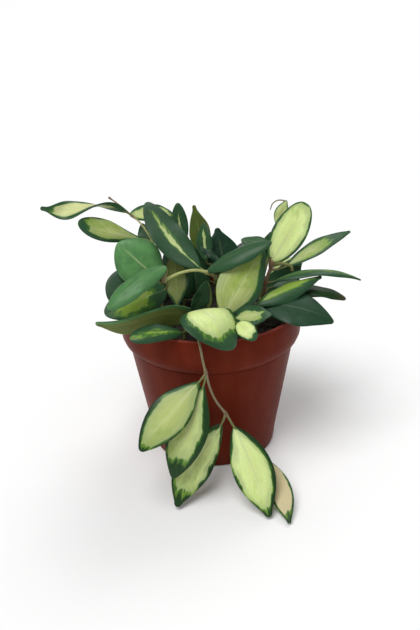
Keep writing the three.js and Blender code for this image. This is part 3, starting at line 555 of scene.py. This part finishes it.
# ---- materials
class Nodes:
    """A short way to write a material's node tree."""

    def __init__(self, name):
        self.material = bpy.data.materials.new(name)
        self.material.use_nodes = True
        self.tree = self.material.node_tree
        self.shader = self.tree.nodes["Principled BSDF"]

    def node(self, kind, inputs=None, **settings):
        made = self.tree.nodes.new("ShaderNode" + kind)
        for key, value in settings.items():
            setattr(made, key, value)
        for key, value in (inputs or {}).items():
            self.put(made.inputs[key], value)
        return made

    def put(self, socket, value):
        if isinstance(value, bpy.types.NodeSocket):
            self.tree.links.new(value, socket)
        elif socket.type == "RGBA":
            socket.default_value = (*tuple(value)[:3], 1.0)
        else:
            socket.default_value = value

    def math(self, operation, a, b=0.0, c=0.0, clamp=False):
        made = self.node("Math", {0: a, 1: b, 2: c}, operation=operation, use_clamp=clamp)
        return made.outputs[0]

    def plus(self, a, b):
        return self.math("ADD", a, b)

    def less(self, a, b):
        return self.math("SUBTRACT", a, b)

    def times(self, a, b):
        return self.math("MULTIPLY", a, b)

    def signed(self, share):
        """A share from 0 to 1 as a number from -1 to 1."""
        return self.math("MULTIPLY_ADD", share, 2.0, -1.0)

    def mix(self, share, a, b):
        return self.node("Mix", {0: share, 6: a, 7: b}, data_type="RGBA").outputs[2]

    def step(self, value, low, high):
        """Goes smoothly from 0 at low to 1 at high, where low may be the larger."""
        made = self.node("MapRange", {0: value, 1: low, 2: high}, interpolation_type="SMOOTHSTEP")
        return made.outputs[0]

    def noise(self, vector, scale, detail=2.0, rough=0.5):
        made = self.node("TexNoise", {"Vector": vector, "Scale": scale, "Detail": detail,
                                      "Roughness": rough})
        return made.outputs[0]

    def join(self, x, y, z):
        return self.node("CombineXYZ", {0: x, 1: y, 2: z}).outputs[0]

    def split(self, attribute):
        """The red, green, blue and alpha of a named value on the mesh."""
        made = self.node("Attribute", attribute_name=attribute)
        parts = self.node("SeparateColor", {0: made.outputs["Color"]}).outputs
        return parts[0], parts[1], parts[2], made.outputs["Alpha"]

    def bump(self, height, strength, distance):
        made = self.node("Bump", {"Height": height, "Strength": strength, "Distance": distance})
        self.put(self.shader.inputs["Normal"], made.outputs[0])

    def set(self, **inputs):
        for key, value in inputs.items():
            self.put(self.shader.inputs[key.replace("_", " ")], value)


def leaf_material(colours):
    """Green margin, cream middle. The field that parts them is the distance from the margin, tip
    or base, less the green share there, plus broad and fine noise along the side veins. Beside it
    the green turns full, and yellow in patches; the cream is greyer there and yellower further in.
    The lower face is olive, or a dull cream, and keeps the green margin."""
    n = Nodes("hoya_leaf")
    plus, less, times = n.plus, n.less, n.times
    u, side, seed, under = n.split("where")
    edge, point, ragged, lean = n.split("mark")
    tone, warm, bright, deep = n.split("tint")
    heel, drift, flush, rib_share = n.split("extra")
    wide, feather, brown, _ = n.split("more")
    v = n.signed(side)
    off = n.math("ABSOLUTE", v)
    slant = less(u, times(off, VEIN_SLANT))
    place = n.math("MULTIPLY_ADD", seed, 37.0, times(n.math("SIGN", v), 3.0))

    def noise(along, often, across, wide, detail=2.0, rough=0.5):
        """Noise over the blade, each way stretched by the factor that follows it."""
        vector = n.join(times(along, often), times(across, wide), place)
        return n.noise(vector, 1.0, detail, rough)

    patches = less(noise(u, 3.4, v, 1.1), 0.5)
    strokes = less(noise(slant, 13.0, off, 1.6), 0.5)
    grain = less(noise(slant, 44.0, off, 9.0), 0.5)
    rough = plus(plus(times(patches, 2.8), times(strokes, 1.2)), times(grain, 0.25))

    filled = times(n.math("MINIMUM", edge, 1.0), n.math("MINIMUM", edge, 1.0))
    across = times(less(1.0, off), plus(wide, times(less(1.0, wide), filled)))
    wanted = plus(plus(edge, times(n.signed(lean), v)), times(n.signed(drift), n.signed(u)))
    field = plus(less(across, wanted), times(rough, ragged))
    tilt = times(times(less(seed, 0.5), v), 0.5)
    broken = plus(plus(patches, times(strokes, 0.7)), tilt)
    to_tip = plus(less(less(1.0, u), point), times(broken, point))
    to_base = plus(less(u, heel), times(plus(patches, tilt), times(heel, 2.0)))
    field = n.math("MINIMUM", field, times(n.math("MINIMUM", to_tip, to_base), 2.0))
    pale = n.step(field, -0.012, 0.035)
    soft = plus(plus(0.05, feather), times(n.math("MAXIMUM", patches, 0.0), 0.6))
    halfway = n.step(n.math("DIVIDE", plus(field, times(grain, 0.06)), soft), -1.0, 0.0)

    cloud = noise(u, 6.0, v, 2.5, 3.0)
    streaks = noise(u, 2.0, v, 9.0, 3.0, 0.6)
    specks = noise(u, 60.0, v, 26.0, 1.0)
    green = n.mix(tone, colours.dark_leaf, colours.green_leaf)
    # Painted sheen: lighter clouds of the sheen colour over the green.
    green = n.mix(times(n.step(cloud, 0.35, 0.75), 0.4), green, colours.leaf_sheen)
    # Painted shade: the green darkens towards the margin.
    green = n.mix(times(n.step(off, 0.6, 1.0), 0.35), green, colours.dark_leaf)
    green = n.mix(deep, green, colours.deep_leaf)
    green = n.mix(times(n.step(specks, 0.70, 0.80), 0.2), green, colours.leaf_fleck)
    yellowed = n.step(plus(plus(patches, strokes), times(less(u, 0.6), 0.3)), 0.02, 0.2)
    between = n.mix(times(yellowed, 0.8), colours.half_green, colours.flush_green)
    between = n.mix(tone, between, colours.green_leaf)

    cream = n.mix(bright, colours.olive_cream, colours.bright_cream)
    cream = n.mix(times(n.step(streaks, 0.42, 0.70), 0.35), cream, colours.pale_streak)
    cream = n.mix(times(n.step(field, 0.35, 0.75), 0.35), cream, colours.yellow_cream)
    greyed = times(n.step(plus(field, times(patches, 0.5)), 0.30, 0.02), 0.5)
    cream = n.mix(greyed, cream, colours.grey_cream)
    cream = n.mix(times(n.step(plus(grain, 0.5), 0.45, 0.8), 0.2), cream, colours.grey_cream)
    fading = n.step(u, 1.0, 0.3)
    cream = n.mix(times(times(n.step(off, 0.2, 0.05), fading), 0.35), cream, colours.pale_streak)
    # Painted shade: a thin darker line in the crease of the midrib.
    cream = n.mix(times(times(n.step(off, 0.035, 0.01), fading), 0.2), cream, colours.grey_cream)
    cream = n.mix(warm, cream, colours.pink_leaf)
    blush = plus(plus(patches, times(strokes, 0.6)), times(less(u, 0.62), 0.55))
    blush = n.step(plus(blush, times(flush, 0.5)), 0.06, 0.5)
    blush = times(blush, n.math("MULTIPLY_ADD", flush, 0.6, 0.35, clamp=True))
    cream = n.mix(blush, cream, colours.flush_green)
    top = n.mix(pale, n.mix(halfway, green, between), cream)

    rib = times(n.step(off, 0.06, 0.0), n.step(u, 1.0, 0.5))
    vein = n.math("PINGPONG", plus(times(slant, 8.0), times(cloud, 0.5)), 0.5)
    vein = times(n.step(vein, 0.07, 0.0), n.step(off, 0.9, 0.3))
    lines = n.math("MAXIMUM", rib, times(vein, 0.2))
    top = n.mix(times(lines, rib_share), top, colours.pale_streak)

    below = n.mix(times(n.step(cloud, 0.3, 0.8), 0.3), colours.underside, colours.half_green)
    dull = n.mix(bright, colours.underside, colours.olive_cream)
    plain = n.step(edge, 1.0, 1.2)
    below = n.mix(plain, n.mix(pale, below, dull), below)
    below = n.mix(n.math("MAXIMUM", halfway, plain), green, below)
    below = n.mix(times(lines, 0.15), below, colours.pale_streak)

    colour = n.mix(under, top, below)
    dry = times(n.step(plus(u, times(strokes, 0.3)), 0.78, 0.98), brown)
    colour = n.mix(dry, colour, colours.dry_tip)
    fine = n.noise(n.node("TexCoord").outputs["Object"], 900.0, 2.0)
    height = less(plus(times(grain, 0.5), times(fine, 0.4)), times(lines, 0.9))
    n.bump(height, 0.22, 0.0005)
    n.set(Base_Color=colour, Roughness=n.math("MULTIPLY_ADD", cloud, 0.2, 0.26))
    n.set(Subsurface_Weight=0.06, Subsurface_Scale=0.002, Specular_IOR_Level=0.25)
    return n.material


def stem_material(colours):
    """The bark colour stored along the stem, mottled by two sizes of noise."""
    n = Nodes("hoya_stem")
    bark = n.node("Attribute", attribute_name="bark").outputs["Color"]
    place = n.node("TexCoord").outputs["Object"]
    fine = n.noise(place, 1400.0, 3.0)
    broad = n.noise(place, 260.0, 2.0)
    colour = n.mix(n.times(n.step(fine, 0.45, 0.7), 0.35), bark, colours.stem_grain)
    colour = n.mix(n.times(n.step(broad, 0.5, 0.8), 0.35), colour, colours.stem_patch)
    n.bump(fine, 0.4, 0.0003)
    n.set(Base_Color=colour, Roughness=0.6)
    return n.material


def pot_material(colours):
    """Dyed plastic: a red-brown ground, faint upright flow marks, dust that thickens low down, and
    a paler lip that is a painted highlight."""
    n = Nodes("pot_plastic")
    place = n.node("TexCoord").outputs["Object"]
    x, y, z = n.node("SeparateXYZ", {0: place}).outputs
    flow = n.noise(n.join(n.times(x, 90.0), n.times(y, 90.0), n.times(z, 9.0)), 1.0, 3.0)
    grain = n.noise(place, 2600.0, 2.0)
    dust = n.noise(place, 45.0, 4.0, 0.6)
    low = n.step(z, 0.07, 0.0)
    colour = n.mix(n.step(flow, 0.3, 0.75), colours.pot, colours.pot_light)
    share = n.times(n.step(dust, 0.5, 0.8), n.math("MULTIPLY_ADD", low, 0.12, 0.05))
    colour = n.mix(share, colour, colours.pot_dust)
    # Painted highlight: a paler band along the lip, where light glances off the rim.
    lip = n.step(z, 0.1005, 0.1015)
    colour = n.mix(n.times(lip, 0.5), colour, colours.pot_lip_highlight)
    n.bump(n.plus(n.times(grain, 0.4), n.times(flow, 0.4)), 0.12, 0.0003)
    n.set(Base_Color=colour, Roughness=n.math("MULTIPLY_ADD", dust, 0.18, 0.34))
    n.set(Specular_IOR_Level=0.05)
    return n.material


def mix_material(colours):
    """Damp peat: near black, its own dark deepened as painted shade of the shadowed inside of the
    pot, with browner crumbs and a few fibres.
    """
    n = Nodes("potting_mix_peat")
    place = n.node("TexCoord").outputs["Object"]
    crumbs = n.noise(place, 420.0, 4.0, 0.65)
    clods = n.noise(place, 110.0, 3.0)
    colour = n.mix(n.step(crumbs, 0.35, 0.75), colours.peat, colours.peat_crumb)
    colour = n.mix(n.times(n.step(clods, 0.6, 0.85), 0.5), colour, colours.peat_fibre)
    n.bump(crumbs, 0.8, 0.0012)
    n.set(Base_Color=colour, Roughness=0.95)
    return n.material


# ---- properties
def paint(name, description, *steps):
    """A colour that a user may change, given in 0-255 steps."""
    return bpy.props.FloatVectorProperty(name=name, description=description, subtype="COLOR",
                                         size=3, min=0.0, max=1.0, default=srgb(*steps))


def extent(name, description, metres):
    """A length that a user may change."""
    return bpy.props.FloatProperty(name=name, description=description, default=metres,
                                   unit="LENGTH")


class HoyaSizes(bpy.types.PropertyGroup):
    """Sizes that a user may change."""

    leaf_thickness: extent("Leaf thickness", "Thickness of a leaf at its midrib", 0.0015)
    margin_thickness: extent("Margin thickness", "Thickness just inside the margin", 0.0009)
    stalk_radius: extent("Stalk radius", "Radius of a leaf stalk", 0.00085)
    floor_size: extent("Floor size", "Side of the floor", 24.0)


class HoyaColours(bpy.types.PropertyGroup):
    """Colours that a user may change."""

    dark_leaf: paint("Dark leaf", "Blue-green of the margins", 21, 54, 35)
    green_leaf: paint("Green leaf", "Grass green of the plain leaves", 92, 146, 84)
    # Painted sheen: the lighter clouds laid over the green.
    leaf_sheen: paint("Painted leaf sheen", "Painted sheen in lighter clouds on the green", 44, 80, 56)
    leaf_fleck: paint("Leaf fleck", "Pale flecks on the green", 150, 172, 146)
    deep_leaf: paint("Deep leaf", "Green margin of the trailing leaves", 24, 56, 20)
    grey_cream: paint("Grey cream", "Cream beside the margin", 142, 160, 112)
    flush_green: paint("Flush green", "Yellow-green in the cream", 124, 156, 50)
    dry_tip: paint("Dry tip", "Brown of a drying tip", 70, 58, 34)
    half_green: paint("Half green", "Full green beside the cream", 62, 104, 28)
    olive_cream: paint("Olive cream", "Duller cream", 160, 174, 100)
    bright_cream: paint("Bright cream", "Brighter cream", 224, 244, 160)
    yellow_cream: paint("Yellow cream", "Middle of the cream", 200, 214, 118)
    pale_streak: paint("Pale streak", "Streaks in the cream", 206, 214, 160)
    pink_leaf: paint("Pink leaf", "Cream of the young leaves", 206, 190, 152)
    underside: paint("Underside", "Lower face of a leaf", 78, 92, 36)
    stem_grain: paint("Stem grain", "Dark grain of the stems", 70, 52, 34)
    stem_patch: paint("Stem patch", "Pale patches of the stems", 150, 150, 96)
    pot: paint("Pot", "Red-brown of the pot", 96, 30, 12)
    pot_light: paint("Pot, lighter", "Lighter flow marks of the pot", 106, 38, 20)
    pot_dust: paint("Pot dust", "Dust low on the pot", 140, 92, 76)
    # Painted highlight along the pot's lip.
    pot_lip_highlight: paint("Pot lip", "Painted highlight on the upper edge of the pot", 142, 72, 66)
    # Near black: the peat's own dark, deepened as painted shade inside the pot.
    peat: paint("Peat", "Ground of the potting mix", 24, 18, 13)
    peat_crumb: paint("Peat crumb", "Crumbs of the potting mix", 46, 34, 24)
    peat_fibre: paint("Peat fibre", "Fibres in the potting mix", 78, 58, 40)
    floor: paint("Floor", "Plain floor", 250, 250, 250)


# ---- operators
class HOYA_OT_pot(bpy.types.Operator):
    """Turns the pot's wall from its profile and cuts the drain holes"""

    bl_idname = "hoya.pot"
    bl_label = "Pot"

    def execute(self, context):
        profile = np.array(POT_OUTSIDE + POT_INSIDE, float)
        fine = [profile[0]]
        for a, b in zip(profile[:-1], profile[1:]):
            parts = max(1, int(np.hypot(*(b - a)) // PROFILE_STEP))
            fine += [a + (b - a) * k / parts for k in range(1, parts + 1)]
        profile = np.array(fine)
        skin = Skin()
        skin.add(level_rings(circle(POT_SIDES), profile[:, :1], profile[:, 1:]))
        piece = skin.build("pot_wall", pot_material(context.scene.hoya_colours))
        cutter = Skin()
        for turn in circle(DRAIN_HOLES):
            x, y = DRAIN_RING * np.cos(turn), DRAIN_RING * np.sin(turn)
            cutter.add(level_rings(circle(24), DRAIN_RADIUS, DRAIN_CUT, x, y))
        tool = cutter.build("drain_holes", piece.data.materials[0])
        cut = piece.modifiers.new("drain", "BOOLEAN")
        cut.object, cut.operation, cut.solver = tool, "DIFFERENCE", "EXACT"
        context.view_layer.update()
        shaped = bpy.data.meshes.new_from_object(
            piece.evaluated_get(context.evaluated_depsgraph_get()))
        piece.modifiers.clear()
        piece.data = shaped
        bpy.data.objects.remove(tool)
        shaped.set_sharp_from_angle(angle=math.radians(SHARP_ANGLE))
        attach(piece, "root")
        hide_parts("pot")
        return {"FINISHED"}


class HOYA_OT_potting_mix(bpy.types.Operator):
    """Fills the pot with a bed of potting mix: a low crown, lumpy by a sum of sine waves of random
    heading, shift and pitch that fade out at the rim, and strewn with crumbs"""

    bl_idname = "hoya.potting_mix"
    bl_label = "Potting mix"

    def execute(self, context):
        draw = np.random.default_rng(SEED)
        angle = circle(BED_SIDES)
        rings = [level_rings(angle, r, z) for r, z in BED_SIDE]
        turns, shifts = draw.uniform(0, 2 * np.pi, (LUMPS, 2)).T
        pitches = draw.uniform(0.10, 0.62, LUMPS)
        for share in np.linspace(1, 0.01, BED_ROWS):
            x, y = BED_RADIUS * share * np.cos(angle), BED_RADIUS * share * np.sin(angle)
            lumps = sum(np.sin((x * np.cos(t) + y * np.sin(t)) * k + p) / (1 + 3 * k)
                        for t, p, k in zip(turns, shifts, pitches))
            lumps = LUMP_HEIGHT * lumps * (1 - share ** 8)
            top = BED_LEVEL + BED_CROWN * (1 - share ** 2) + lumps
            rings.append(np.stack([x, y, np.minimum(top, BED_HIGHEST)], -1))
        skin = Skin()
        skin.add(np.array(rings))
        wide, high = np.array(CRUMB_RINGS).T[..., None]
        least, most = np.array(CRUMB_SPANS).T[..., None]
        for x, y, turn, size in zip(*draw.uniform(least, most, (4, CRUMBS))):
            out = x * x + y * y
            if out < CRUMB_REACH ** 2:
                level = BED_LEVEL + 0.2 + BED_CROWN * (1 - out / BED_RADIUS ** 2)
                around = turn + circle(6)
                skin.add(np.stack([
                    x + size * wide * np.cos(around) * 1.4, y + size * wide * np.sin(around),
                    np.broadcast_to(level + size * high, (3, 6))], -1))
        piece = skin.build("potting_mix_bed", mix_material(context.scene.hoya_colours))
        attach(piece, "root")
        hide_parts("potting_mix")
        return {"FINISHED"}


class HOYA_OT_stems(bpy.types.Operator):
    """Grows each vine's stem, its joints, spurs and leaf stalks"""

    bl_idname = "hoya.stems"
    bl_label = "Stems"

    def execute(self, context):
        sizes = context.scene.hoya_sizes
        material = stem_material(context.scene.hoya_colours)
        for name, vine_ in VINES.items():
            skin = Skin()
            rooted = [(*vine_["root"], z) for z in ROOT_LEVELS]
            path = smooth_path(rooted + vine_["stem"], STEM_STEP)
            bulge = swelling(path, vine_["joints"])
            slim = np.linspace(1.0, vine_["slim"], len(path))
            skin.add(tube(path, vine_["radius"] * slim * bulge),
                     bark=bark_values(path, vine_["bark"], bulge))
            for radius, bark, points in vine_["spurs"]:
                path = smooth_path(points, SPUR_STEP)
                taper = np.linspace(1.0, SPUR_TAPER, len(path))
                skin.add(tube(path, radius * taper, 10), bark=bark_values(path, (bark,)))
            for item in vine_["leaves"]:
                path = stalk_path(item)
                radius = sizes.stalk_radius / MM * np.linspace(1.0, STALK_TAPER, STALK_POINTS)
                skin.add(tube(path, radius, 12), bark=bark_values(path, (TAN, OLIVE, OLIVE)))
            piece = skin.build(name + "_stem", material)
            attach(piece, "root")
            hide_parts(name)
        return {"FINISHED"}


class HOYA_OT_leaves(bpy.types.Operator):
    """Makes every leaf of every vine, with its marks stored on its points"""

    bl_idname = "hoya.leaves"
    bl_label = "Leaves"

    def execute(self, context):
        sizes = context.scene.hoya_sizes
        material = leaf_material(context.scene.hoya_colours)
        numbers = itertools.count()
        for name, vine_ in VINES.items():
            skin = Skin()
            for item in vine_["leaves"]:
                rings, values = blade(item, next(numbers), sizes)
                skin.add(rings, **values)
            piece = skin.build(name + "_leaves", material)
            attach(piece, "root")
            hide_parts(name)
        return {"FINISHED"}


def soft_sun(name, towards, spread, strength):
    """A broad lamp as far off as the sun, so the floor is lit alike everywhere. It stands in the
    direction towards, and spread is its width in degrees."""
    data = bpy.data.lights.new(name, "SUN")
    data.angle, data.energy = math.radians(spread), strength
    lamp = bpy.data.objects.new(name, data)
    lamp.rotation_euler = Vector(towards).to_track_quat("Z", "Y").to_euler()
    bpy.context.scene.collection.objects.link(lamp)


class HOYA_OT_stage(bpy.types.Operator):
    """Adds the floor, the soft studio light and the camera"""

    bl_idname = "hoya.stage"
    bl_label = "Stage"

    def execute(self, context):
        scene = context.scene
        half = scene.hoya_sizes.floor_size / 2
        mesh = bpy.data.meshes.new("floor")
        corners = [(-half, -half, 0), (half, -half, 0), (half, half, 0), (-half, half, 0)]
        mesh.from_pydata(corners, [], [(0, 1, 2, 3)])
        floor = bpy.data.objects.new("floor", mesh)
        scene.collection.objects.link(floor)
        look = Nodes("floor")
        look.set(Base_Color=tuple(scene.hoya_colours.floor), Roughness=0.9)
        mesh.materials.append(look.material)
        world = bpy.data.worlds.new("studio")
        world.use_nodes = True
        sky = world.node_tree.nodes["Background"]
        sky.inputs["Color"].default_value = (1.0, 1.0, 1.0, 1.0)
        sky.inputs["Strength"].default_value = 0.3
        scene.world = world
        scene.view_settings.view_transform = "Standard"
        soft_sun("key", towards=(-0.30, -0.42, 1.0), spread=40, strength=2.1)
        soft_sun("rim", towards=(0.35, 0.75, 1.0), spread=30, strength=0.75)
        camera = bpy.data.objects.new("camera", bpy.data.cameras.new("camera"))
        camera.data.lens = CAMERA_LENS
        camera.matrix_world = (Matrix.Translation(CAMERA_PLACE)
                               @ Matrix.Rotation(-CAMERA_YAW, 4, "Z")
                               @ Matrix.Rotation(math.pi / 2 - CAMERA_PITCH, 4, "X")
                               @ Matrix.Rotation(CAMERA_ROLL, 4, "Z"))
        scene.collection.objects.link(camera)
        scene.camera = camera
        return {"FINISHED"}


class HOYA_PT_panel(bpy.types.Panel):
    """Lists the pieces in the sidebar"""

    bl_idname = "HOYA_PT_panel"
    bl_label = "Hoya"
    bl_space_type = "VIEW_3D"
    bl_region_type = "UI"
    bl_category = "Hoya"

    def draw(self, context):
        for kind in PIECES:
            self.layout.operator(kind.bl_idname)
        for group in (context.scene.hoya_sizes, context.scene.hoya_colours):
            for key in group.bl_rna.properties.keys():
                if key not in ("rna_type", "name"):
                    self.layout.prop(group, key)


PIECES = (HOYA_OT_pot, HOYA_OT_potting_mix, HOYA_OT_stems, HOYA_OT_leaves, HOYA_OT_stage)
CLASSES = (HoyaSizes, HoyaColours, *PIECES, HOYA_PT_panel)


def register():
    for kind in CLASSES:
        bpy.utils.register_class(kind)
    bpy.types.Scene.hoya_sizes = bpy.props.PointerProperty(type=HoyaSizes)
    bpy.types.Scene.hoya_colours = bpy.props.PointerProperty(type=HoyaColours)


def unregister():
    del bpy.types.Scene.hoya_colours
    del bpy.types.Scene.hoya_sizes
    for kind in reversed(CLASSES):
        bpy.utils.unregister_class(kind)


def main():
    register()
    bpy.ops.hoya.pot()
    bpy.ops.hoya.potting_mix()
    bpy.ops.hoya.stems()
    bpy.ops.hoya.leaves()
    bpy.ops.hoya.stage()


if __name__ == "__main__":
    main()
